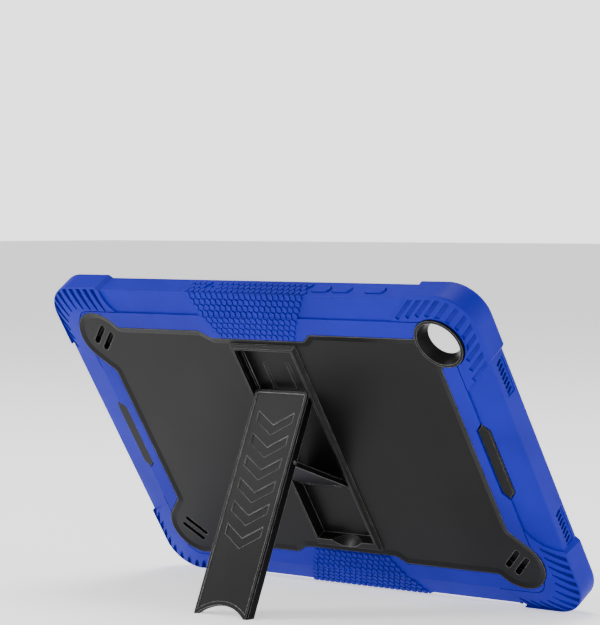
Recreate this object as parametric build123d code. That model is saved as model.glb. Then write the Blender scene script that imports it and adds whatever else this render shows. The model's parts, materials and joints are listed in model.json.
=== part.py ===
from build123d import *
import math
import os

# Rugged tablet case: a hard rear shell inside a soft bumper, a clip-in front frame
# and a kickstand that slides open. Everything is drawn flat first, with +X to the
# right as seen from the back, +Y towards the button side and +Z out of the back,
# and is then leaned over to stand on its bottom edge and its stand.

# ---- driving dimensions, in millimetres and degrees ----
LEAN = 33.2                    # how far the case leans back from upright

CASE_X, CASE_Y, CASE_R = 258.0, 175.0, 20.0
FRONT_Z = -12.0                # front face of the bumper's lip
EDGE_Z = 0.0                   # where the side wall meets the sloped back
FLAT_Z = 3.0                   # flat part of the bumper's back
FOLD_X, FOLD_Y, FOLD_R = 225.6, 152.8, 8.0
FOLD_STEP = 0.8                # sloped panels lie this far under the flat part
FOLD_LINE_W, FOLD_LINE_D = 0.5, 0.3            # fine groove along the fold
WALL_EDGE_R = 1.0
PAD_BACK_X, PAD_FRONT_X, PAD_Y = 260.2, 262.0, 178.6
PAD_R, PAD_EDGE_R = 17.0, 0.8
PAD_EDGE_Z = 0.8               # back edge of the corner pads
PAD_END_X, PAD_END_X_CAMERA = 92.6, 97.6
PAD_END_Y, PAD_END_Y_LOW = 54.0, 51.5
PAD_SWEEP_X, PAD_SWEEP_Y = 8.6, 13.5           # how far a pad's end sweeps across the slope

SHELL_X, SHELL_Y, SHELL_R = 251.4, 168.4, 9.0
SHELL_WALL = 1.7
SEAT_Z = -2.2                  # the tablet's back rests here
SHOULDER_Z = -0.6              # shell surface under the bumper's back
WALL_END_Z = -9.6
PANEL_Z = 2.4                  # main black panel
RIM_CREST, RIM_IN, RIM_DROP = 0.5, 3.0, 0.6    # sloped rim around the panel
PANEL_GAP = 0.4                # between the black panel and the bumper around it

BAND_C, BAND_W, BAND_H = 1.8, 40.0, 121.0
BAND_Z = 4.55
RECESS_W, RECESS_TOP, RECESS_LOW = 35.4, 58.2, -55.8
RECESS_Z = -1.2
SLOT_FLOOR = 0.7               # shell left under the strap slots

LEG_W, LEG_PLATE, LEG_DEPTH, LEG_SIDE = 33.4, 1.6, 4.8, 1.6
LEG_TOP_Z = 4.4                # outer face of the closed leg
LEG_ABOVE_AXLE = 1.2
LEG_LENGTH = 116.0             # before the foot is cut level with the floor
LEG_CORNER_R = 3.0
LEG_BORDER, LEG_BORDER_STEP = 1.9, 0.45        # raised border around the leg's outer face
AXLE_DEPTH, AXLE_R = 2.6, 1.2
AXLE_REACH = 1.9               # how far the axle stands out of each side of the leg
TRACK_DEPTH = 1.4
TRACK_SAG = 1.6                # room for the axle's dip part-way through the travel
AXLE_Y = 31.6                  # where the axle sits when the stand is open
LEG_OPEN = 56.6                # leg to back, stand open
LINK_PIVOT_Y, LINK_PIVOT_Z = -22.5, 1.0
LINK_DEPTH = 3.3               # leg pivot under the leg's outer face
LINK_FROM_AXLE = 33.2
LINK_W, LINK_T = 29.4, 2.4
LINK_BASE_R, LINK_HEAD_R = 1.55, 1.45
PIN_R, PIN_CLEARANCE = 0.8, 0.05
EAR_X, EAR_T, EAR_R, EAR_GAP = 8.5, 2.2, 1.5, 0.4
BASE_PIN_HALF = 12.0

LOBE_R = 15.0
LOBES = [(-102.0, 60.5), (-102.0, -60.0), (101.5, -59.5)]
CAMERA_X, CAMERA_Y, CAMERA_R = 107.9, 65.5, 12.5
CAMERA_LIP = 1.3
PLATEAU_X, PLATEAU_Y, PLATEAU_STEP_Y = 103.5, 67.3, 63.3

KEY_X, KEY_W, KEY_HALF, KEY_POINT = 112.7, 6.5, 21.0, 3.5
GROOVE_PITCH, GROOVE_HALF = 4.9, 6
# width and depth at the outer end, then at the tip
CLAW = (3.0, 2.2, 1.2, 0.6)
BAR = (2.0, 1.7, 2.0, 0.7)
# corner (x side, y side): first and last heading in degrees, lengths on the short wall, in the
# corner and on the long wall, start inside the pad's edge, shape
GROOVES = {
    (-1, 1): (-75.0, -58.0, 17.0, 13.0, 14.0, 0.7, CLAW),
    (-1, -1): (64.0, 46.0, 12.5, 8.0, 12.5, 0.7, CLAW),
    (1, -1): (161.0, 142.0, 14.5, 13.0, 18.0, 0.7, CLAW),
    (1, 1): (-138.0, -138.0, 16.0, 14.0, 18.5, 1.8, BAR),
}

BUTTON_Z, BUTTON_H, BUTTON_PROUD, BUTTON_GAP = -5.2, 4.4, 0.9, 0.3
BUTTONS = {
    "volume_down_button": (45.1, 10.8),
    "volume_up_button": (57.4, 10.6),
    "power_button": (76.5, 11.2),
}
BUTTON_STEM_W, BUTTON_STEM_REACH = 5.0, 1.4

GRILLE_Y = (42.4, -41.8)
GRILLE_Z, GRILLE_L, GRILLE_H, GRILLE_SLOTS = -6.3, 17.0, 5.2, 7
GRILLE_BORDER, GRILLE_SUNK, GRILLE_SLANT = 1.0, 0.5, 20.0
SLOT_W = 1.5
STRAP_SLOT_L, STRAP_SLOT_W, STRAP_SLOT_GAP = 14.6, 2.9, 5.6

FLAP_Y, FLAP_W, FLAP_GAP = 1.5, 15.2, 0.4
FLAP_TOP_Z, FLAP_LOW_Z = -0.6, -9.8
FLAP_T = 2.2

FRAME_X, FRAME_Y, FRAME_R = 247.6, 164.6, 7.2
FRAME_BACK_Z, FRAME_FRONT_Z = -9.3, -11.2
WINDOW_X, WINDOW_Y, WINDOW_R = 233.0, 148.0, 4.0
NOTCH_W, NOTCH_D = 20.0, 5.0
LIP_GAP = 0.3

POCKET_X = SHELL_X - 2 * SHELL_WALL
POCKET_Y = SHELL_Y - 2 * SHELL_WALL
POCKET_R = SHELL_R - SHELL_WALL


def slab(sketch, low, high):
    """The sketch as a solid between two heights."""
    return Pos(0, 0, low) * extrude(sketch, amount=high - low)


def block(x0, x1, y0, y1, z0, z1):
    """A box between two corners."""
    centre = Pos((x0 + x1) / 2, (y0 + y1) / 2, (z0 + z1) / 2)
    return centre * Box(abs(x1 - x0), abs(y1 - y0), abs(z1 - z0))


def rod_x(y, z, x0, x1, radius):
    """A round rod along X."""
    return Pos((x0 + x1) / 2, y, z) * Rot(0, 90, 0) * Cylinder(radius, x1 - x0)


def face_of(points):
    """A flat face from its corner points."""
    return make_face(Polyline(*points, close=True))


# ---- kickstand geometry in the (y, z) plane ----
def leg_axes(angle):
    """Unit vectors down the leg and out of its outer face, at an angle to the back."""
    a = math.radians(angle)
    return (-math.cos(a), math.sin(a)), (math.sin(a), math.cos(a))


AXLE_Z = LEG_TOP_Z - AXLE_DEPTH
DOWN, OUT = leg_axes(LEG_OPEN)
HEAD_Y = AXLE_Y + LINK_FROM_AXLE * DOWN[0] - (LINK_DEPTH - AXLE_DEPTH) * OUT[0]
HEAD_Z = AXLE_Z + LINK_FROM_AXLE * DOWN[1] - (LINK_DEPTH - AXLE_DEPTH) * OUT[1]
LINK_LENGTH = math.hypot(HEAD_Y - LINK_PIVOT_Y, HEAD_Z - LINK_PIVOT_Z)
LINK_OPEN = math.degrees(math.atan2(HEAD_Z - LINK_PIVOT_Z, HEAD_Y - LINK_PIVOT_Y))
CLOSED_HEAD_Z = LEG_TOP_Z - LINK_DEPTH
LINK_CLOSED = math.degrees(math.asin((CLOSED_HEAD_Z - LINK_PIVOT_Z) / LINK_LENGTH))
CLOSED_AXLE_Y = LINK_PIVOT_Y + LINK_LENGTH * math.cos(math.radians(LINK_CLOSED)) + LINK_FROM_AXLE


def plateau_outline():
    """Outline of the black panel with its three lobes and the camera ring."""
    step = [(-35, PLATEAU_Y), (-28, PLATEAU_STEP_Y), (29, PLATEAU_STEP_Y), (34, PLATEAU_Y)]
    top = [(-PLATEAU_X, PLATEAU_Y)] + step + [(PLATEAU_X, PLATEAU_Y)]
    bottom = [(x, -y) for x, y in reversed(top)]
    outline = face_of(top + bottom)
    for x, y in LOBES:
        sx = math.copysign(1, x)
        sy = math.copysign(1, y)
        tangent = LOBE_R / math.sqrt(2)
        neck = [
            (x + sx * tangent, y - sy * tangent),
            (sx * PLATEAU_X, y - sy * (2 * tangent - abs(PLATEAU_X - abs(x)))),
            (x - sx * LOBE_R, y - sy * LOBE_R),
            (x, y),
        ]
        outline += Pos(x, y) * Circle(LOBE_R)
        outline += face_of(neck)
    outline += Pos(CAMERA_X, CAMERA_Y) * Circle(CAMERA_R)
    blend = 3.0
    outline = offset(outline, amount=blend, kind=Kind.ARC)
    return offset(outline, amount=-blend, kind=Kind.ARC)


def key_outline(side):
    """Long hexagon of the side window in the bumper."""
    w = KEY_W / 2
    half = KEY_HALF - KEY_POINT
    points = [(-w, -half), (0, -KEY_HALF), (w, -half), (w, half), (0, KEY_HALF), (-w, half)]
    return Pos(side * KEY_X, 0) * face_of(points)


def corner_region(sx, sy):
    """Area of one corner pad, seen from the back, with its swept inner ends."""
    end_x = PAD_END_X_CAMERA if sx > 0 and sy > 0 else PAD_END_X
    end_y = PAD_END_Y if sy > 0 else PAD_END_Y_LOW
    fold_x, fold_y = FOLD_X / 2, FOLD_Y / 2
    far_x, far_y = PAD_FRONT_X / 2 + 2, PAD_Y / 2 + 2

    def at(x, y):
        return (sx * x, sy * y)

    inner_y = end_y - PAD_SWEEP_Y
    if sx > 0 and sy > 0:
        inner_x = end_x - 12.3
        edge = Polyline(at(inner_x, fold_y), at(end_x, CASE_Y / 2))
        side_edge = Polyline(at(CASE_X / 2, end_y), at(fold_x, inner_y - 0.8))
        inner_y -= 0.8
    else:
        inner_x = end_x - PAD_SWEEP_X
        edge = ThreePointArc(at(inner_x, fold_y), at(end_x - 3.0, fold_y + 4.6), at(end_x, CASE_Y / 2))
        side_edge = ThreePointArc(at(CASE_X / 2, end_y), at(fold_x + 7.0, end_y - 3.9), at(fold_x, inner_y))
    edge += Polyline(at(end_x, CASE_Y / 2), at(end_x + 4.0, far_y), at(far_x, far_y),
                     at(far_x, end_y + 5.0), at(CASE_X / 2, end_y))
    edge += side_edge
    edge += Polyline(at(fold_x, inner_y), at(inner_x, inner_y), at(inner_x, fold_y))
    return make_face(edge)


def grille_slots(side, x0, x1):
    """Slanted sound slots through a short wall."""
    slots = []
    height = GRILLE_H - 1.2
    for centre in GRILLE_Y:
        for i in range(GRILLE_SLOTS):
            y = centre + (i - (GRILLE_SLOTS - 1) / 2) * GRILLE_L / GRILLE_SLOTS
            box = Rot(GRILLE_SLANT, 0, 0) * Box(x1 - x0, SLOT_W, height)
            slots.append(Pos(side * (x0 + x1) / 2, y, GRILLE_Z) * box)
    return slots


def bumper():
    """Soft bumper: side walls, sloped back, corner pads, windows and port openings."""
    body = slab(RectangleRounded(CASE_X, CASE_Y, CASE_R), FRONT_Z, EDGE_Z)
    fold = RectangleRounded(FOLD_X, FOLD_Y, FOLD_R)
    body += loft([
        Pos(0, 0, EDGE_Z) * RectangleRounded(CASE_X, CASE_Y, CASE_R),
        Pos(0, 0, FLAT_Z - FOLD_STEP) * fold,
    ], ruled=True)
    rim = body.edges().filter_by_position(Axis.Z, EDGE_Z - 0.01, EDGE_Z + 0.01)
    body = fillet(rim, WALL_EDGE_R)
    body += slab(fold, FLAT_Z - FOLD_STEP, FLAT_Z)

    pad_back = Pos(0, 0, PAD_EDGE_Z) * RectangleRounded(PAD_BACK_X, PAD_Y, PAD_R)
    pad = loft([Pos(0, 0, FRONT_Z) * RectangleRounded(PAD_FRONT_X, PAD_Y, PAD_R), pad_back], ruled=True)
    pad += loft([pad_back, Pos(0, 0, FLAT_Z) * fold], ruled=True)
    rim = pad.edges().filter_by_position(Axis.Z, PAD_EDGE_Z - 0.01, PAD_EDGE_Z + 0.01)
    pad = fillet(rim, PAD_EDGE_R)
    for sx in (-1, 1):
        for sy in (-1, 1):
            body += pad & slab(corner_region(sx, sy), FRONT_Z, FLAT_Z)
    body = fillet(body.edges().group_by(Axis.Z)[0], 1.6)

    body -= slab(RectangleRounded(SHELL_X, SHELL_Y, SHELL_R), WALL_END_Z, SHOULDER_Z)
    lip = RectangleRounded(FRAME_X + 2 * LIP_GAP, FRAME_Y + 2 * LIP_GAP, FRAME_R + LIP_GAP)
    body -= slab(lip, FRONT_Z - 1, WALL_END_Z)
    window = offset(plateau_outline(), amount=PANEL_GAP, kind=Kind.ARC)
    body -= slab(window, SHOULDER_Z, FLAT_Z + 1)
    line = RectangleRounded(FOLD_X + 2 * FOLD_LINE_W, FOLD_Y + 2 * FOLD_LINE_W, FOLD_R + FOLD_LINE_W)
    body -= slab(line - fold, FLAT_Z - FOLD_STEP - FOLD_LINE_D, FLAT_Z + 1)
    for side in (-1, 1):
        key_window = offset(key_outline(side), amount=PANEL_GAP, kind=Kind.INTERSECTION)
        body -= slab(key_window, SHOULDER_Z, FLAT_Z + 1)
        for slot in grille_slots(side, SHELL_X / 2 - 0.5, CASE_X / 2 + 3):
            body -= slot
        wall = Plane(origin=(side * (CASE_X / 2 - GRILLE_SUNK), 0, GRILLE_Z), x_dir=(0, 1, 0),
                     z_dir=(side, 0, 0))
        for centre in GRILLE_Y:
            tray = RectangleRounded(GRILLE_L + 2 * GRILLE_BORDER, GRILLE_H + GRILLE_BORDER, 1.0)
            body -= extrude(wall * Pos(centre, 0) * tray, amount=2)
    for x, length in BUTTONS.values():
        hole = SlotOverall(length + 2 * BUTTON_GAP, BUTTON_H + 2 * BUTTON_GAP)
        plane = Plane(origin=(x, SHELL_Y / 2 - 0.5, BUTTON_Z), x_dir=(1, 0, 0), z_dir=(0, 1, 0))
        body -= extrude(plane * hole, amount=8)
    body -= block(-CASE_X / 2 - 3, -SHELL_X / 2 + 0.5, FLAP_Y - FLAP_W / 2 - FLAP_GAP,
                  FLAP_Y + FLAP_W / 2 + FLAP_GAP, FLAP_LOW_Z - FLAP_GAP, FLAP_TOP_Z + FLAP_GAP)
    body -= Pos(-22.0, SHELL_Y / 2 + 2, -5.5) * Rot(90, 0, 0) * Cylinder(0.8, 8)
    return body


def pad_height(x, y):
    """Height of a corner pad's back surface, about."""
    from_side = (PAD_BACK_X / 2 - abs(x)) / (PAD_BACK_X / 2 - FOLD_X / 2)
    from_top = (PAD_Y / 2 - abs(y)) / (PAD_Y / 2 - FOLD_Y / 2)
    return PAD_EDGE_Z + (FLAT_Z - PAD_EDGE_Z) * min(1.0, from_side, from_top)


def edge_point(sx, sy, run):
    """Point of a pad's back edge at a run along it from the corner's middle."""
    quarter = PAD_R * math.pi / 4
    spare = max(abs(run) - quarter, 0.0)
    turn = math.copysign(min(abs(run), quarter), run) / PAD_R + math.pi / 4
    x = PAD_BACK_X / 2 - PAD_R + PAD_R * math.cos(turn) - (spare if run > 0 else 0.0)
    y = PAD_Y / 2 - PAD_R + PAD_R * math.sin(turn) - (spare if run < 0 else 0.0)
    return sx * x, sy * y


def groove_cutters():
    """Grooves across each corner pad, shallower towards their tips."""
    cutters = []
    before = 4.0                   # a groove is drawn this far out and cut back to the pad's edge
    ring = Pos(CAMERA_X, CAMERA_Y, 0) * Cylinder(CAMERA_R + 1.2, 30)
    for (sx, sy), (first, last, short, corner, long, inside, shape) in GROOVES.items():
        width, depth, tip_width, tip_depth = shape
        keep = slab(RectangleRounded(PAD_BACK_X - 2 * inside, PAD_Y - 2 * inside, PAD_R - inside),
                    -4.0, FLAT_Z + 2)
        keep &= slab(corner_region(sx, sy), -4.0, FLAT_Z + 2)
        keep -= ring
        bend = math.radians(last - first)
        heading = math.radians((first + last) / 2)
        for i in range(-GROOVE_HALF, GROOVE_HALF + 1):
            x, y = edge_point(sx, sy, i * GROOVE_PITCH)
            share = (i / GROOVE_HALF) ** 2
            length = corner + share * ((long if i > 0 else short) - corner)
            end_x = x + length * math.cos(heading)
            end_y = y + length * math.sin(heading)
            start_z = pad_height(x, y) - depth
            fall = pad_height(end_x, end_y) - tip_depth - start_z
            along = Vector(length * math.cos(heading), length * math.sin(heading), fall)
            across = Vector(-math.sin(heading), math.cos(heading), 0)
            floor = Plane(origin=(x, y, start_z), x_dir=along, z_dir=along.cross(across))
            edge = groove_outline(length, width / 2, tip_width / 2, bend, before)
            cutters.append(extrude(floor * make_face(edge), amount=5) & keep)
    return cutters


def groove_outline(length, half, tip_half, bend, before):
    """Closed outline of one groove along X, bowed by a bend in radians."""
    lead = -before * math.tan(bend / 2)
    outer = [(0, -half), (-before, -lead - half), (-before, -lead + half), (0, half)]
    if not bend:
        return Polyline(*outer, (length, tip_half), (length, -tip_half), (0, -half))
    sag = -length * bend / 8
    mid = (half + tip_half) / 2
    edge = ThreePointArc((0, half), (length / 2, sag + mid), (length, tip_half))
    edge += Polyline((length, tip_half), (length, -tip_half))
    edge += ThreePointArc((length, -tip_half), (length / 2, sag - mid), (0, -half))
    return edge + Polyline(*outer)


def rear_shell():
    """Hard rear shell: tray, raised panel, stand recess, camera ring and side keys."""
    tray = RectangleRounded(SHELL_X, SHELL_Y, SHELL_R)
    pocket = RectangleRounded(POCKET_X, POCKET_Y, POCKET_R)
    body = slab(tray, WALL_END_Z, SHOULDER_Z) - slab(pocket, WALL_END_Z - 1, SEAT_Z)

    outline = plateau_outline()
    plateau = slab(outline, SHOULDER_Z, FLAT_Z)
    crest = offset(outline, amount=-RIM_CREST, kind=Kind.ARC)
    slant = math.degrees(math.atan((RIM_IN - RIM_CREST) / RIM_DROP))
    plateau -= extrude(Pos(0, 0, FLAT_Z) * crest, amount=-RIM_DROP, taper=slant)
    body += plateau
    for side in (-1, 1):
        key = slab(key_outline(side), SHOULDER_Z, PANEL_Z)
        body += chamfer(key.edges().group_by(Axis.Z)[-1], 0.5)

    band = block(BAND_C - BAND_W / 2, BAND_C + BAND_W / 2, -BAND_H / 2, BAND_H / 2,
                 SHOULDER_Z, BAND_Z)
    band = chamfer(band.edges().group_by(Axis.Z)[-1], 1.2)
    body += band
    body -= block(BAND_C - RECESS_W / 2, BAND_C + RECESS_W / 2, RECESS_LOW, RECESS_TOP,
                  RECESS_Z, BAND_Z + 1)

    scoop_r = 16.0
    scoop = Pos(BAND_C + 0.5, -44.5, BAND_Z + 6.3) * Sphere(scoop_r)
    body -= scoop & block(-30, 30, -62, RECESS_LOW + 0.5, RECESS_Z, BAND_Z + 1)

    track_low = AXLE_Z - AXLE_R - TRACK_SAG
    track_high = AXLE_Z + AXLE_R + 0.1
    reach = RECESS_W / 2 + TRACK_DEPTH
    body -= block(BAND_C - reach, BAND_C + reach, AXLE_Y - AXLE_R - 0.2, RECESS_TOP - 0.2,
                  max(track_low, RECESS_Z), track_high)

    slit_low, slit_high, slit_floor = 25.0, 47.5, SEAT_Z + 0.3
    for x in (BAND_C - 7.6, BAND_C + 6.6):
        body -= block(x - 0.9, x + 0.9, slit_low, slit_high, slit_floor, RECESS_Z + 0.1)
    body -= block(BAND_C - 8.5, BAND_C + 7.5, slit_low - 1.4, slit_low, slit_floor, RECESS_Z + 0.1)
    for side in (-1, 1):
        x0 = BAND_C + side * EAR_X - EAR_T / 2
        body += block(x0, x0 + EAR_T, LINK_PIVOT_Y - EAR_R, LINK_PIVOT_Y + EAR_R, RECESS_Z - 0.2, LINK_PIVOT_Z)
        body += rod_x(LINK_PIVOT_Y, LINK_PIVOT_Z, x0, x0 + EAR_T, EAR_R)
    body -= rod_x(LINK_PIVOT_Y, LINK_PIVOT_Z, BAND_C - BASE_PIN_HALF, BAND_C + BASE_PIN_HALF, PIN_R)

    for x, y in LOBES:
        turn = 45 if x * y < 0 else -45
        for gap in (-STRAP_SLOT_GAP / 2, STRAP_SLOT_GAP / 2):
            slot = Pos(x, y) * Rot(0, 0, turn) * Pos(0, gap) * SlotOverall(STRAP_SLOT_L, STRAP_SLOT_W)
            body -= slab(slot, SEAT_Z + SLOT_FLOOR, FLAT_Z + 1)

    ring = Pos(CAMERA_X, CAMERA_Y, 0)
    body += ring * Pos(0, 0, (SHOULDER_Z + FLAT_Z + 0.5) / 2) * Cylinder(CAMERA_R, FLAT_Z + 0.5 - SHOULDER_Z)
    bore_r = CAMERA_R - CAMERA_LIP
    depth = FLAT_Z + 0.5 - SEAT_Z
    body -= ring * Pos(0, 0, SEAT_Z + depth / 2) * Cone(bore_r - 2.6, bore_r, depth + 0.002)

    for side in (-1, 1):
        for centre in GRILLE_Y:
            half = GRILLE_L / 2
            body -= block(side * (POCKET_X / 2 - 0.5), side * (SHELL_X / 2 + 0.5), centre - half,
                          centre + half, GRILLE_Z - 2.4, GRILLE_Z + 2.4)
    body -= block(36.0, 87.0, POCKET_Y / 2 - 0.5, SHELL_Y / 2 + 0.5, -8.2, -2.4)
    body -= block(-24.0, -20.0, POCKET_Y / 2 - 0.5, SHELL_Y / 2 + 0.5, -7.0, -4.0)
    body -= block(-SHELL_X / 2 - 0.5, -POCKET_X / 2 + 0.5, FLAP_Y - 7.5, FLAP_Y + 7.5, -9.0, -2.4)

    cell_x, cell_y, rib = 24.0, 27.0, 1.6
    for side in (-1, 1):
        for i in range(3):
            for j in range(4):
                x0 = BAND_C + side * (22.0 + i * (cell_x + rib))
                x1 = x0 + side * cell_x
                y0 = -2 * (cell_y + rib) + rib / 2 + j * (cell_y + rib)
                body -= block(x0, x1, y0, y0 + cell_y, SEAT_Z - 1, PANEL_Z - 1.8)
    return body


def front_frame():
    """Clip-in front frame around the screen, with tabs that enter the shell."""
    plate = slab(RectangleRounded(FRAME_X, FRAME_Y, FRAME_R), FRAME_FRONT_Z, FRAME_BACK_Z)
    window = RectangleRounded(WINDOW_X, WINDOW_Y, WINDOW_R)
    notch = Pos(0, WINDOW_Y / 2) * RectangleRounded(NOTCH_W, 2 * NOTCH_D, 2.0)
    hole = window + notch
    body = plate - slab(hole, FRAME_FRONT_Z - 1, FRAME_BACK_Z + 1)
    front = body.faces().sort_by(Axis.Z)[0]
    body = chamfer(front.inner_wires()[0].edges(), length=1.2, length2=1.0)
    body = fillet(body.faces().sort_by(Axis.Z)[0].outer_wire().edges(), 0.6)
    tab_w, tab_t, tab_reach = 12.0, 0.9, 4.2
    edge = POCKET_Y / 2 - 0.4
    for side in (-1, 1):
        for x in (-96, -60, -8, 20, 96):
            body += block(x - tab_w / 2, x + tab_w / 2, side * (edge - tab_t), side * edge,
                          FRAME_BACK_Z - 0.5, FRAME_BACK_Z + tab_reach)
    return body


def leg_blank():
    """Kickstand leg lying closed with its axle at the origin and its foot towards -Y."""
    top_y = LEG_ABOVE_AXLE
    low_y = top_y - LEG_LENGTH
    outer_z = AXLE_DEPTH
    blank = Pos(BAND_C, (top_y + low_y) / 2) * Rectangle(LEG_W, LEG_LENGTH)
    tops = blank.vertices().sort_by(Axis.Y)[-2:]
    blank = fillet(tops, LEG_CORNER_R)
    plate = slab(blank, outer_z - LEG_PLATE, outer_z)
    body = plate
    axle_boss = 1.5
    for side in (-1, 1):
        edge_x = BAND_C + side * LEG_W / 2
        inner_x = edge_x - side * LEG_SIDE
        body += block(inner_x, edge_x, low_y, -7.0, outer_z - LEG_DEPTH, outer_z - 1.0)
        taper = face_of([(-7.0, outer_z - 1.0), (-7.0, outer_z - LEG_DEPTH),
                         (0, -axle_boss), (0, outer_z - 1.0)])
        side_plane = Plane(origin=(min(inner_x, edge_x), 0, 0), x_dir=(0, 1, 0), z_dir=(1, 0, 0))
        body += extrude(side_plane * taper, amount=LEG_SIDE)
        body += rod_x(0, 0, min(inner_x, edge_x), max(inner_x, edge_x), axle_boss)
    rim = body.faces().sort_by(Axis.Z)[-1].outer_wire().edges()
    body = chamfer(rim, 0.7)
    chevron_w, chevron_rise, stroke = 22.0, 6.5, 5.0
    for i in range(6):
        y = -10.0 - i * 11.2
        points = [
            (-chevron_w / 2, y), (0, y - chevron_rise), (chevron_w / 2, y),
            (chevron_w / 2, y - stroke), (0, y - chevron_rise - stroke), (-chevron_w / 2, y - stroke),
        ]
        body -= Pos(BAND_C, 0, 0) * slab(face_of(points), outer_z - LEG_BORDER_STEP - 0.55, outer_z + 1)
    head_y = -LINK_FROM_AXLE
    head_z = AXLE_DEPTH - LINK_DEPTH
    body -= rod_x(head_y, head_z, BAND_C - LEG_W, BAND_C + LEG_W, PIN_R)
    body -= rod_x(0, 0, BAND_C - LEG_W, BAND_C + LEG_W, 1.0)
    return body


def leg_panel():
    """Space inside the raised border of the closed leg's outer face."""
    low_y = LEG_ABOVE_AXLE - LEG_LENGTH
    top_y = LEG_ABOVE_AXLE - LEG_BORDER
    panel = Pos(BAND_C, (top_y + low_y) / 2) * Rectangle(LEG_W - 2 * LEG_BORDER, top_y - low_y)
    panel = fillet(panel.vertices().sort_by(Axis.Y)[-2:], 1.2)
    return slab(panel, AXLE_DEPTH - LEG_BORDER_STEP, AXLE_DEPTH + 1)


def opened(shape, y, z, angle):
    """Turn a part drawn closed about the origin by an opening angle and put it in place."""
    return Pos(0, y, z) * Rot(-angle, 0, 0) * shape


def kickstand_leg():
    """Kickstand leg at its open angle, with the foot cut level with the floor."""
    body = opened(leg_blank(), AXLE_Y, AXLE_Z, LEG_OPEN)
    panel = opened(leg_panel(), AXLE_Y, AXLE_Z, LEG_OPEN)
    floor = Plane(origin=(0, FLOOR_Y, FLOOR_Z), z_dir=UP)
    body = split(body, bisect_by=floor, keep=Keep.TOP)
    panel = split(panel, bisect_by=floor.offset(LEG_BORDER), keep=Keep.TOP)
    reach = 106.0
    foot_y = AXLE_Y + DOWN[0] * reach + OUT[0] * AXLE_DEPTH
    foot_z = AXLE_Z + DOWN[1] * reach + OUT[1] * AXLE_DEPTH
    notch_r, notch_depth = 22.0, 3.2
    centre = floor.to_local_coords(Vector(BAND_C, foot_y, foot_z))
    middle = floor.from_local_coords(Vector(centre.X, centre.Y, notch_depth - notch_r))
    along = Plane(origin=middle, x_dir=(1, 0, 0), z_dir=(0, OUT[0], OUT[1]))
    body -= along * Cylinder(notch_r, 30)
    panel -= along * Cylinder(notch_r + LEG_BORDER, 30)
    return body - panel


def kickstand_link():
    """Strut between the shell and the leg, with a barrel at each end."""
    x0 = BAND_C - LINK_W / 2
    x1 = BAND_C + LINK_W / 2
    body = block(x0, x1, 0, LINK_LENGTH, -LINK_T / 2, LINK_T / 2)
    body += rod_x(0, 0, x0, x1, LINK_BASE_R)
    body += rod_x(LINK_LENGTH, 0, x0, x1, LINK_HEAD_R)
    for y in (0, LINK_LENGTH):
        body -= rod_x(y, 0, x0 - 1, x1 + 1, PIN_R + PIN_CLEARANCE)
    ear_reach = math.hypot(EAR_R, LINK_PIVOT_Z - RECESS_Z) + EAR_GAP
    half = EAR_T / 2 + EAR_GAP
    for side in (-1, 1):
        x = BAND_C + side * EAR_X
        body -= block(x - half, x + half, -LINK_BASE_R - 1, ear_reach, -LINK_T - 1, LINK_T + 1)
    return Pos(0, LINK_PIVOT_Y, LINK_PIVOT_Z) * Rot(LINK_OPEN, 0, 0) * body


def pins():
    """Steel pins of the two link pivots, and the leg's slide axle."""
    half_leg = LEG_W / 2
    return {
        "link_base_pin": rod_x(LINK_PIVOT_Y, LINK_PIVOT_Z, BAND_C - BASE_PIN_HALF, BAND_C + BASE_PIN_HALF, PIN_R),
        "link_leg_pin": rod_x(HEAD_Y, HEAD_Z, BAND_C - half_leg, BAND_C + half_leg, PIN_R),
        "leg_slide_axle": slide_axle(half_leg),
    }


def slide_axle(half_leg):
    """Axle across the leg's top whose thicker ends run in the recess tracks."""
    body = rod_x(AXLE_Y, AXLE_Z, BAND_C - half_leg, BAND_C + half_leg, 1.0)
    for side in (-1, 1):
        x0 = BAND_C + side * half_leg
        x1 = x0 + side * AXLE_REACH
        body += rod_x(AXLE_Y, AXLE_Z, min(x0, x1), max(x0, x1), AXLE_R)
    return body


def button(x, length):
    """Side button: a rounded pad proud of the wall with a stem that reaches the key."""
    wall = Plane(origin=(x, SHELL_Y / 2 + 0.6, BUTTON_Z), x_dir=(1, 0, 0), z_dir=(0, 1, 0))
    height = CASE_Y / 2 + BUTTON_PROUD - SHELL_Y / 2 - 0.6
    cap = extrude(wall * SlotOverall(length, BUTTON_H), amount=height)
    cap = fillet(cap.edges().group_by(Axis.Y)[-1], 0.8)
    stem_y = SHELL_Y / 2 + 0.6
    half = BUTTON_STEM_W / 2
    return cap + block(x - half, x + half, stem_y - BUTTON_STEM_REACH, stem_y + 0.5,
                       BUTTON_Z - 1.1, BUTTON_Z + 1.1)


def port_flap():
    """Dust flap over the charging port, hinged at its back edge, with a plug."""
    x0 = -CASE_X / 2
    y0 = FLAP_Y - FLAP_W / 2
    y1 = FLAP_Y + FLAP_W / 2
    body = block(x0, x0 + FLAP_T, y0, y1, FLAP_LOW_Z, FLAP_TOP_Z)
    body = fillet(body.edges().filter_by(Axis.X).group_by(Axis.Z)[0], 2.0)
    plug = Plane(origin=(x0 + FLAP_T - 0.2, FLAP_Y, -5.6), x_dir=(0, 1, 0), z_dir=(1, 0, 0))
    body += extrude(plug * SlotOverall(8.6, 2.8), amount=3.0)
    grip = Plane(origin=(x0, FLAP_Y, -7.6), x_dir=(0, 1, 0), z_dir=(-1, 0, 0))
    return body + extrude(grip * SlotOverall(7.0, 1.2), amount=0.6)


# ---- stand the flat case on the floor, leaning back on its stand ----
TURN = 90.0 + LEAN
UP = (0, math.cos(math.radians(LEAN)), -math.sin(math.radians(LEAN)))


def leaned(shape):
    """Turn the flat case to its leaning attitude."""
    return Rot(TURN, 0, 0) * shape


body_bumper = bumper()
for cutter in groove_cutters():
    body_bumper -= cutter
LOWEST = leaned(body_bumper).bounding_box().min.Z
FLOOR_Y = UP[1] * LOWEST
FLOOR_Z = UP[2] * LOWEST

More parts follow.
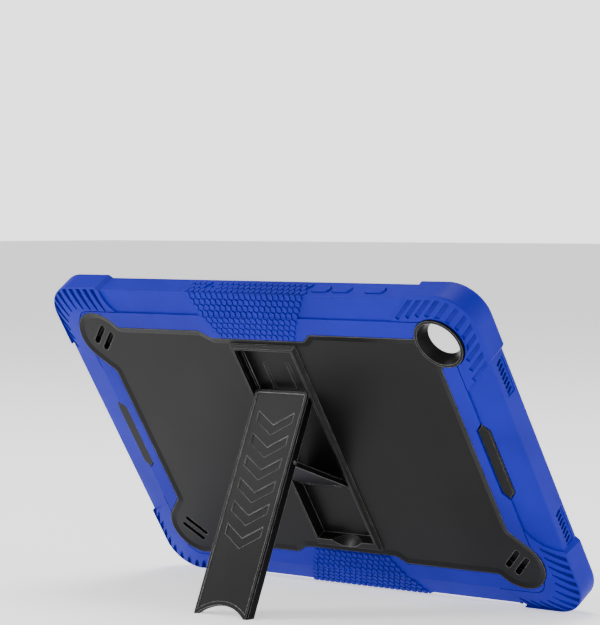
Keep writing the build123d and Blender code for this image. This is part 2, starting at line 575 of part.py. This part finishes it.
nodes = {
    "bumper": body_bumper,
    "rear_shell": rear_shell(),
    "front_frame": front_frame(),
    "kickstand_leg": kickstand_leg(),
    "kickstand_link": kickstand_link(),
    "usb_port_flap": port_flap(),
}
nodes.update(pins())
for name, (x, length) in BUTTONS.items():
    nodes[name] = button(x, length)

placed = {name: leaned(shape) for name, shape in nodes.items()}
whole = Compound(children=[Part() + shape for shape in placed.values()]).bounding_box()
middle_y = (whole.min.Y + whole.max.Y) / 2
stand = Pos(0, -middle_y, -whole.min.Z)
os.makedirs("parts", exist_ok=True)
for name, shape in placed.items():
    part = stand * shape
    part.label = name
    export_step(part, f"parts/{name}.step")


def in_row(y, z):
    """A point of the flat case's (y, z) plane, in the standing frame."""
    point = Rot(TURN, 0, 0) * Pos(0, y, z)
    at = point.position
    return round(at.Y - middle_y, 3), round(at.Z - whole.min.Z, 3)


print("case centre", in_row(0, 0), "size", whole.size)
print("link base pivot", in_row(LINK_PIVOT_Y, LINK_PIVOT_Z))
print("leg pivot", in_row(HEAD_Y, HEAD_Z), "axle", in_row(AXLE_Y, AXLE_Z))
print("flap hinge", in_row(FLAP_Y, FLAP_TOP_Z), "seat", in_row(0, SEAT_Z))
print("link", round(LINK_LENGTH, 3), "open", round(LINK_OPEN, 3), "closed", round(LINK_CLOSED, 3))
print("axle closed at", round(CLOSED_AXLE_Y, 3))
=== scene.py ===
"""Looks of a rugged tablet case: studio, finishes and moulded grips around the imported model."""

import json
import logging
import math
from dataclasses import dataclass, field
from enum import Enum

import bpy
from mathutils import Matrix, Vector


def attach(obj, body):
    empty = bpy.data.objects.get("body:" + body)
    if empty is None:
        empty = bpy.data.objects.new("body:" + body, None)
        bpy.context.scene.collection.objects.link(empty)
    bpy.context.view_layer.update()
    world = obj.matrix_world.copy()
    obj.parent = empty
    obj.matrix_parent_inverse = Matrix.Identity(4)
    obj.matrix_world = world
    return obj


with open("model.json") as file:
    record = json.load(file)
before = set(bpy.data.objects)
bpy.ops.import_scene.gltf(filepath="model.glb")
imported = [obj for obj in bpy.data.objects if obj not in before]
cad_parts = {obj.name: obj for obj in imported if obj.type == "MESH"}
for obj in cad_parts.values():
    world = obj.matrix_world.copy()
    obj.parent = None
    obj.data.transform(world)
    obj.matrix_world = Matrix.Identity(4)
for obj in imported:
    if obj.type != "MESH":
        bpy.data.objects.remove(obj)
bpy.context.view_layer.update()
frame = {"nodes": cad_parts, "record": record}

logging.basicConfig(level=logging.INFO, format="%(message)s")
LOG = logging.getLogger("tablet_case")

MM = 0.001


# ---------------------------------------------------------------- the case's own frame

def joint_place(name: str) -> Vector:
    """A joint's axis point, in row millimetres.

    Args:
        name: The joint's name in the record.

    Returns:
        The point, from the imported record.
    """
    joints = frame["record"]["behaviour"]["joints"]
    return Vector(next(joint["pos_m"] for joint in joints if joint["name"] == name)) / MM


@dataclass(frozen=True)
class CaseFrame:
    """The flat case's axes, standing at its lean in the row frame.

    The flat case has +X to the right seen from the back, +Y towards the side keys and +Z out of
    the back. Its centre is found from the strut's lower pivot.
    """

    lean: float = math.radians(33.2)
    strut_pivot: tuple = (0.0, -22.5, 1.0)

    @property
    def turn(self) -> Matrix:
        """Turn from the flat case's axes to the row's."""
        return Matrix.Rotation(math.radians(90.0) + self.lean, 4, "X")

    @property
    def centre(self) -> Vector:
        """The flat case's origin, in row millimetres."""
        return joint_place("stand_link_fold") - self.turn @ Vector(self.strut_pivot)

    @property
    def place(self) -> Matrix:
        """Matrix from flat case millimetres to row metres."""
        return Matrix.Scale(MM, 4) @ Matrix.Translation(self.centre) @ self.turn


CASE = CaseFrame()


# ---------------------------------------------------------------- shader maths

WHITE = (1.0, 1.0, 1.0, 1.0)
BEVEL_SAMPLES = 6
EDGE_MASK = (0.01, 0.16)        # how far the rounded normal has turned where an edge starts and is full


@dataclass(frozen=True)
class Pattern:
    """A noise pattern, and the values of it between which its mask goes from none to full."""

    scale: float
    detail: float
    rough: float = 0.5
    low: float = 0.0
    high: float = 1.0


class Socket:
    """A shader socket with arithmetic, so that node maths reads as an expression."""

    def __init__(self, maker: "Shader", link: bpy.types.NodeSocket) -> None:
        """Wrap one output socket.

        Args:
            maker: The shader that owns the node tree.
            link: The output socket.
        """
        self.maker = maker
        self.link = link

    def _math(self, operation: str, *values: "float | Socket") -> "Socket":
        """One Math node on the given values."""
        return self.maker.node("ShaderNodeMath", {"operation": operation}, *values)

    def __add__(self, other: "float | Socket") -> "Socket":
        """Sum."""
        return self._math("ADD", self, other)

    __radd__ = __add__

    def __sub__(self, other: "float | Socket") -> "Socket":
        """Difference."""
        return self._math("SUBTRACT", self, other)

    def __rsub__(self, other: "float | Socket") -> "Socket":
        """Reflected difference."""
        return self._math("SUBTRACT", other, self)

    def __mul__(self, other: "float | Socket") -> "Socket":
        """Product."""
        return self._math("MULTIPLY", self, other)

    def clamp(self) -> "Socket":
        """Value held between 0 and 1."""
        return self.maker.node("ShaderNodeClamp", {}, self)

    def between(self, low: float, high: float) -> "Socket":
        """Value stretched so that low becomes 0 and high becomes 1, smooth and held."""
        return self.maker.node("ShaderNodeMapRange", {"interpolation_type": "SMOOTHSTEP"}, self, low, high)


class Shader:
    """Builds one material's node tree."""

    def __init__(self, name: str) -> None:
        """Start an empty material with a Principled shader.

        Args:
            name: The material's name.
        """
        self.material = bpy.data.materials.new(name)
        self.material.use_nodes = True
        self.tree = self.material.node_tree
        self.shader = self.tree.nodes["Principled BSDF"]

    def node(self, kind: str, settings: dict, *values: object, output: int = 0, **named: object) -> Socket:
        """Add one node.

        Args:
            kind: The node's type name.
            settings: Properties that are set before its sockets.
            values: Values or sockets of its inputs in order; None leaves one alone.
            output: Which output to return.
            named: Values or sockets of inputs by name, with _ for a space.

        Returns:
            The wrapped output.
        """
        made = self.tree.nodes.new(kind)
        for key, value in settings.items():
            setattr(made, key, value)
        for place, value in enumerate(values):
            self._feed(made.inputs[place], value)
        for key, value in named.items():
            self._feed(made.inputs[key.replace("_", " ")], value)
        return Socket(self, made.outputs[output])

    def _feed(self, socket: bpy.types.NodeSocket, value: object) -> None:
        """Link or set one input."""
        if value is None:
            return
        if isinstance(value, Socket):
            self.tree.links.new(value.link, socket)
        else:
            socket.default_value = value

    def noise(self, pattern: Pattern) -> Socket:
        """Noise value in Object coordinates.

        Args:
            pattern: Its scale, detail and roughness.

        Returns:
            The value, which is about 0.5 on average.
        """
        place = self.node("ShaderNodeTexCoord", {}, output=3)
        return self.node("ShaderNodeTexNoise", {}, Vector=place, Scale=pattern.scale,
                         Detail=pattern.detail, Roughness=pattern.rough)

    def mix(self, factor: "float | Socket", first: object, second: object) -> Socket:
        """Blend of two colours."""
        return self.node("ShaderNodeMix", {"data_type": "RGBA"}, factor, None, None, None, None, None,
                         first, second, output=2)

    def rounded(self, radius: float) -> Socket:
        """Normal with the edges rounded by a radius in metres."""
        return self.node("ShaderNodeBevel", {"samples": BEVEL_SAMPLES}, radius)

    def edge(self, rounded: Socket) -> Socket:
        """Mask of the edges, from how far the rounded normal leaves the face's own."""
        flat = self.node("ShaderNodeNewGeometry", {}, output=3)
        same = self.node("ShaderNodeVectorMath", {"operation": "DOT_PRODUCT"}, rounded, flat, output=1)
        return (1.0 - same).between(*EDGE_MASK)

    def feed(self, **named: object) -> None:
        """Set or link the Principled shader's sockets by name, with _ for a space."""
        for key, value in named.items():
            self._feed(self.shader.inputs[key.replace("_", " ")], value)


def rgb(red: float, green: float, blue: float) -> tuple:
    """Linear colour from display values.

    Args:
        red: Red, from 0 to 255.
        green: Green, from 0 to 255.
        blue: Blue, from 0 to 255.

    Returns:
        The linear colour, with alpha 1.
    """
    def linear(value: float) -> float:
        """One channel, by the sRGB curve."""
        share = value / 255.0
        return share / 12.92 if share <= 0.04045 else ((share + 0.055) / 1.055) ** 2.4
    return (linear(red), linear(green), linear(blue), 1.0)


# ---------------------------------------------------------------- finishes

CLOUD = Pattern(22.0, 4.0, low=0.35, high=0.7)
# patches that break up the lighter edges, which are partly wear and partly a painted highlight
EDGE_PATCHES = Pattern(140.0, 3.0, 0.7, low=0.1, high=0.6)
STREAK = Pattern(420.0, 4.0, 0.7)
GRAIN_DETAIL = 2.0
GRAIN_ROUGH = 0.65


@dataclass(frozen=True)
class MouldedFinish:
    """A moulded plastic or rubber with a fine texture, soft edges, handling wear and painted highlights
    along its edges.
    """

    name: str
    colour: tuple
    shade: tuple
    worn_and_highlight_colour: tuple
    roughness: float
    specular: float
    grain: float
    grain_depth: float
    edge_radius: float = 0.35 * MM
    wear_and_highlight: float = 0.6
    cloud_dullness: float = 0.10
    worn_shine: float = 0.12

    def material(self) -> bpy.types.Material:
        """Build the material.

        Returns:
            A material with cloudy colour, lighter edges that are partly wear and partly a painted
            highlight, uneven gloss and spark texture.
        """
        shader = Shader(self.name)
        cloud = shader.noise(CLOUD)
        edge_patches = shader.noise(EDGE_PATCHES)
        grain = shader.noise(Pattern(self.grain, GRAIN_DETAIL, GRAIN_ROUGH))
        rounded = shader.rounded(self.edge_radius)
        # edge mask: lightens the base colour along rounded edges, partly as wear and partly as a painted
        # highlight
        wear_and_highlight = shader.edge(rounded) * edge_patches.between(EDGE_PATCHES.low, EDGE_PATCHES.high)
        base = shader.mix(cloud.between(CLOUD.low, CLOUD.high), self.colour, self.shade)
        normal = shader.node("ShaderNodeBump", {}, Strength=1.0, Distance=self.grain_depth,
                             Height=grain, Normal=rounded)
        average = self.cloud_dullness / 2.0
        shader.feed(
            Base_Color=shader.mix(wear_and_highlight * self.wear_and_highlight, base, self.worn_and_highlight_colour),
            Roughness=(
                self.roughness + cloud * self.cloud_dullness - wear_and_highlight * self.worn_shine - average
            ).clamp(),
            Specular_IOR_Level=self.specular,
            Normal=normal,
        )
        return shader.material


@dataclass(frozen=True)
class SteelFinish:
    """Drawn steel wire of the pivot pins, with fine scratches."""

    name: str = "pin_steel"
    colour: tuple = rgb(176, 176, 180)
    shade: tuple = rgb(128, 128, 134)
    roughness: float = 0.2
    streak_dullness: float = 0.25

    def material(self) -> bpy.types.Material:
        """Build the material.

        Returns:
            A metal whose scratches are darker or lighter and duller than the rest.
        """
        shader = Shader(self.name)
        streak = shader.noise(STREAK)
        shader.feed(
            Base_Color=shader.mix(streak, self.colour, self.shade),
            Metallic=1.0,
            Roughness=(streak * self.streak_dullness + self.roughness).clamp(),
        )
        return shader.material


class Slot(Enum):
    """The record's material slots."""

    SILICONE = "silicone"
    SHELL = "shell_plastic"
    STAND = "stand_plastic"
    FRAME = "frame_plastic"
    STEEL = "pin_steel"


FINISHES = {
    Slot.SILICONE: MouldedFinish(
        "blue_silicone", (0.009, 0.009, 0.32, 1.0), (0.006, 0.006, 0.25, 1.0), (0.036, 0.040, 0.54, 1.0),
        roughness=0.52, specular=0.10, grain=1500.0, grain_depth=0.00002, edge_radius=0.2 * MM),
    Slot.SHELL: MouldedFinish(
        # the shell's pale edge colour is mostly a painted highlight along its rims and the band's edge
        "black_shell", rgb(15, 15, 15), rgb(11, 11, 11), rgb(160, 160, 156),
        roughness=0.38, specular=0.14, grain=1900.0, grain_depth=0.00003, wear_and_highlight=0.8),
    Slot.STAND: MouldedFinish(
        # the stand's pale edge colour is mostly a painted highlight along the leg's border
        "black_stand", rgb(7, 7, 7), rgb(5, 5, 5), rgb(185, 185, 182),
        roughness=0.42, specular=0.08, grain=2100.0, grain_depth=0.000025, wear_and_highlight=0.9),
    Slot.FRAME: MouldedFinish(
        "black_frame", rgb(15, 15, 15), rgb(12, 12, 12), rgb(56, 56, 56),
        roughness=0.42, specular=0.28, grain=1800.0, grain_depth=0.00003),
    Slot.STEEL: SteelFinish(),
}


# ---------------------------------------------------------------- studio

LAMP_AIM = Vector((0.0, 0.0, 0.07))


@dataclass(frozen=True)
class Softbox:
    """One square area light that points at the case."""

    name: str
    spot: tuple
    size: float
    power: float

    def build(self) -> None:
        """Make the light and aim it."""
        light = bpy.data.lights.new(self.name, "AREA")
        light.size = self.size
        light.energy = self.power
        lamp = bpy.data.objects.new(self.name, light)
        lamp.location = self.spot
        aim = LAMP_AIM - lamp.location
        lamp.rotation_euler = aim.to_track_quat("-Z", "Y").to_euler()
        bpy.context.scene.collection.objects.link(lamp)


@dataclass(frozen=True)
class Studio:
    """Pale floor, white surround with a darker ceiling, soft lights and the camera."""

    horizon_light: float = 2.4
    ceiling_light: float = 0.35
    light_falls_over: tuple = (0.12, 0.5)
    floor_size: float = 30.0
    floor_colour: tuple = (0.9, 0.9, 0.9, 1.0)
    floor_roughness: float = 0.9
    floor_specular: float = 0.1
    floor_glow: float = 0.75
    azimuth: float = math.radians(40.4)
    rise: float = math.radians(2.14)
    reach: float = 1.1894
    target_from_centre: tuple = (-4.4, -0.46, 63.19)
    lens: float = 142.8
    sensor: float = 36.0
    softboxes: tuple = (
        Softbox("key", (-1.2, -0.9, 1.0), 0.5, 20.0),
        Softbox("side", (1.5, 0.1, 0.5), 0.35, 5.0),
        Softbox("top", (-0.2, 0.3, 1.8), 0.9, 26.0),
    )

    def build(self) -> None:
        """Build everything around the case."""
        self._surround()
        self._floor()
        for softbox in self.softboxes:
            softbox.build()
        self._camera()

    def _surround(self) -> None:
        """White light near the horizon that falls off towards the ceiling."""
        world = bpy.data.worlds.new("studio_surround")
        world.use_nodes = True
        nodes = world.node_tree.nodes
        links = world.node_tree.links
        place = nodes.new("ShaderNodeTexCoord")
        split = nodes.new("ShaderNodeSeparateXYZ")
        fall = nodes.new("ShaderNodeMapRange")
        fall.interpolation_type = "SMOOTHSTEP"
        limits = (*self.light_falls_over, self.horizon_light, self.ceiling_light)
        for socket, value in zip(fall.inputs[1:5], limits):
            socket.default_value = value
        links.new(place.outputs["Generated"], split.inputs[0])
        links.new(split.outputs["Z"], fall.inputs[0])
        links.new(fall.outputs[0], nodes["Background"].inputs["Strength"])
        nodes["Background"].inputs["Color"].default_value = WHITE
        bpy.context.scene.world = world

    def _floor(self) -> None:
        """A wide pale floor that glows a little."""
        bpy.ops.object.select_all(action="DESELECT")
        bpy.ops.mesh.primitive_plane_add(size=self.floor_size, location=(0.0, 0.0, 0.0))
        floor = bpy.context.object
        floor.name = "studio_floor"
        shader = Shader("studio_floor")
        shader.feed(
            Base_Color=self.floor_colour,
            Roughness=self.floor_roughness,
            Specular_IOR_Level=self.floor_specular,
            Emission_Color=WHITE,
            Emission_Strength=self.floor_glow,
        )
        floor.data.materials.append(shader.material)

    def _camera(self) -> None:
        """The camera, aimed past the case's centre."""
        look = Vector((-math.sin(self.azimuth) * math.cos(self.rise),
                       math.cos(self.azimuth) * math.cos(self.rise), -math.sin(self.rise)))
        camera = bpy.data.objects.new("camera", bpy.data.cameras.new("camera"))
        target = (CASE.centre + Vector(self.target_from_centre)) * MM
        camera.location = target - look * self.reach
        camera.rotation_euler = look.to_track_quat("-Z", "Y").to_euler()
        camera.data.sensor_width = self.sensor
        camera.data.lens = self.lens
        bpy.context.scene.collection.objects.link(camera)
        bpy.context.scene.camera = camera


# ---------------------------------------------------------------- moulded grips

def radius_of(pitch: float) -> float:
    """Corner radius of a honeycomb cell.

    Args:
        pitch: The distance across its flats.

    Returns:
        The distance from its middle to a corner.
    """
    return pitch / math.sqrt(3.0)


class Side(Enum):
    """Which long side of the case a grip is on."""

    TOP = 1
    BOTTOM = -1


@dataclass(frozen=True)
class HoneycombGrip:
    """Raised honeycomb cells that wrap from the flat of the back over the slope onto the wall.

    A run is the distance over the surface from the wall's back edge, positive on the back. The
    side edges turn at the runs, and left and right are their x there. The hole is a microphone
    hole's x, run and radius.
    """

    side: Side
    wall_y: float = 87.5
    fold_y: float = 76.4
    fold_z: float = 2.3
    flat_z: float = 3.0
    pitch: float = 3.46
    gap: float = 0.55
    height: float = 0.8
    shoulder: float = 0.2
    dish: float = 0.42
    dish_depth: float = 0.14
    buried: float = 0.3
    runs: tuple = (-10.4, 0.0, 11.4, 23.4)
    left: tuple = (-39.5, -37.7, -32.4, -25.6)
    right: tuple = (38.6, 40.6, 33.2, 26.9)
    hole: tuple = (-22.0, -5.5, 1.2)
    corner_blend: float = 0.9
    least_square: float = 0.5
    rows: range = range(-3, 8)
    columns: range = range(-12, 13)
    x_offset: float = 0.6
    run_offset: float = -0.3

    def build(self, material: bpy.types.Material) -> bpy.types.Object:
        """Model one cell, copy it over the grip and join the copies.

        Args:
            material: The finish.

        Returns:
            The finished piece.
        """
        cell = self._cell()
        copies = []
        for x, run in self._centres():
            copy = bpy.data.objects.new("cell", cell.data.copy())
            bpy.context.scene.collection.objects.link(copy)
            for vertex in copy.data.vertices:
                u, v, h = vertex.co
                vertex.co = self._wrapped(x + u, run + v, h)
            copies.append(copy)
        bpy.data.objects.remove(cell)
        bpy.ops.object.select_all(action="DESELECT")
        for copy in copies:
            copy.select_set(True)
        bpy.context.view_layer.objects.active = copies[0]
        bpy.ops.object.join()
        piece = bpy.context.object
        piece.name = f"grip_cells_{self.side.name.lower()}"
        bpy.ops.object.mode_set(mode="EDIT")
        bpy.ops.mesh.select_all(action="SELECT")
        bpy.ops.mesh.normals_make_consistent(inside=False)
        bpy.ops.object.mode_set(mode="OBJECT")
        piece.data.materials.clear()
        piece.data.materials.append(material)
        return piece

    def _cell(self) -> bpy.types.Object:
        """One cell in millimetres: a six-sided boss with a shoulder and a shallow dish."""
        bpy.ops.object.select_all(action="DESELECT")
        radius = radius_of(self.pitch - self.gap)
        bpy.ops.mesh.primitive_circle_add(vertices=6, radius=radius, fill_type="NGON",
                                          location=(0.0, 0.0, -self.buried))
        cell = bpy.context.object
        bpy.ops.object.transform_apply(location=True, rotation=False, scale=False)
        bpy.ops.object.mode_set(mode="EDIT")
        bpy.ops.mesh.select_all(action="SELECT")
        rise = self.buried + self.height - self.shoulder
        bpy.ops.mesh.extrude_region_move(TRANSFORM_OT_translate={"value": (0.0, 0.0, rise)})
        bpy.ops.mesh.inset(thickness=self.shoulder, depth=self.shoulder)
        bpy.ops.mesh.inset(thickness=self.dish, depth=-self.dish_depth)
        bpy.ops.object.mode_set(mode="OBJECT")
        return cell

    def _edge_at(self, places: tuple, run: float) -> float:
        """Where a side edge of the grip is, at a run."""
        for low, high, first, last in zip(self.runs, self.runs[1:], places, places[1:]):
            if run <= high:
                return first + (last - first) * (run - low) / (high - low)
        return places[-1]

    def _centres(self) -> list:
        """Centres of the cells, as x and run."""
        row_pitch = self.pitch * math.sqrt(3.0) / 2.0
        half = self.pitch / 2.0
        hole_x, hole_run, hole_r = self.hole
        centres = []
        for row in self.rows:
            run = (row + 0.5) * row_pitch + self.run_offset
            shift = half if row % 2 else 0.0
            for column in self.columns:
                x = column * self.pitch + shift + self.x_offset
                if not self._edge_at(self.left, run) + half < x < self._edge_at(self.right, run) - half:
                    continue
                clear = hole_r + radius_of(self.pitch)
                if self.side is Side.TOP and math.hypot(x - hole_x, run - hole_run) < clear:
                    continue
                centres.append((x, run))
        return centres

    def _wrapped(self, x: float, run: float, height: float) -> Vector:
        """A point of the flat cell pattern, laid over the case's surface, in row metres."""
        back = (self.wall_y - self.fold_y, self.fold_z)
        slope_length = math.hypot(*back)
        slope = Vector((-back[0], back[1])) / slope_length
        wall_out = Vector((1.0, 0.0))
        slope_out = Vector((slope.y, -slope.x))
        flat_out = Vector((0.0, 1.0))
        if run < 0.0:
            base = Vector((self.wall_y, run))
        elif run < slope_length:
            base = Vector((self.wall_y, 0.0)) + slope * run
        else:
            base = Vector((self.fold_y - (run - slope_length), self.flat_z))
        out = self._turned(run, wall_out, slope_out)
        if run > slope_length / 2.0:
            out = self._turned(run - slope_length, slope_out, flat_out)
        spot = base + out * height
        return CASE.place @ Vector((x, spot.x * self.side.value, spot.y))

    def _turned(self, run: float, before: Vector, after: Vector) -> Vector:
        """Direction out of the surface beside a fold at run 0, longer at the fold to keep the height."""
        share = min(max(run / (2.0 * self.corner_blend) + 0.5, 0.0), 1.0)
        mixed = before.lerp(after, share)
        return mixed / max(mixed.length_squared, self.least_square)


# ---------------------------------------------------------------- assembly

@dataclass
class TabletCase:
    """The whole case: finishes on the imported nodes, and the moulded grips."""

    materials: dict = field(default_factory=dict)

    def build(self) -> None:
        """Dress the nodes and add the pieces."""
        for slot, finish in FINISHES.items():
            self.materials[slot] = finish.material()
        self._dress()
        for side in Side:
            grip = HoneycombGrip(side).build(self.materials[Slot.SILICONE])
            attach(grip, "case")
            LOG.info("made %s with %d faces", grip.name, len(grip.data.polygons))

    def _dress(self) -> None:
        """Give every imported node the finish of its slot."""
        slots = {part["node"]: Slot(part["material_slot"]) for part in frame["record"]["subparts"]}
        for name, node in frame["nodes"].items():
            node.data.materials.clear()
            node.data.materials.append(self.materials[slots[name]])
            LOG.info("dressed %s", name)


def main() -> None:
    """Build the scene."""
    Studio().build()
    TabletCase().build()


if __name__ == "__main__":
    main()
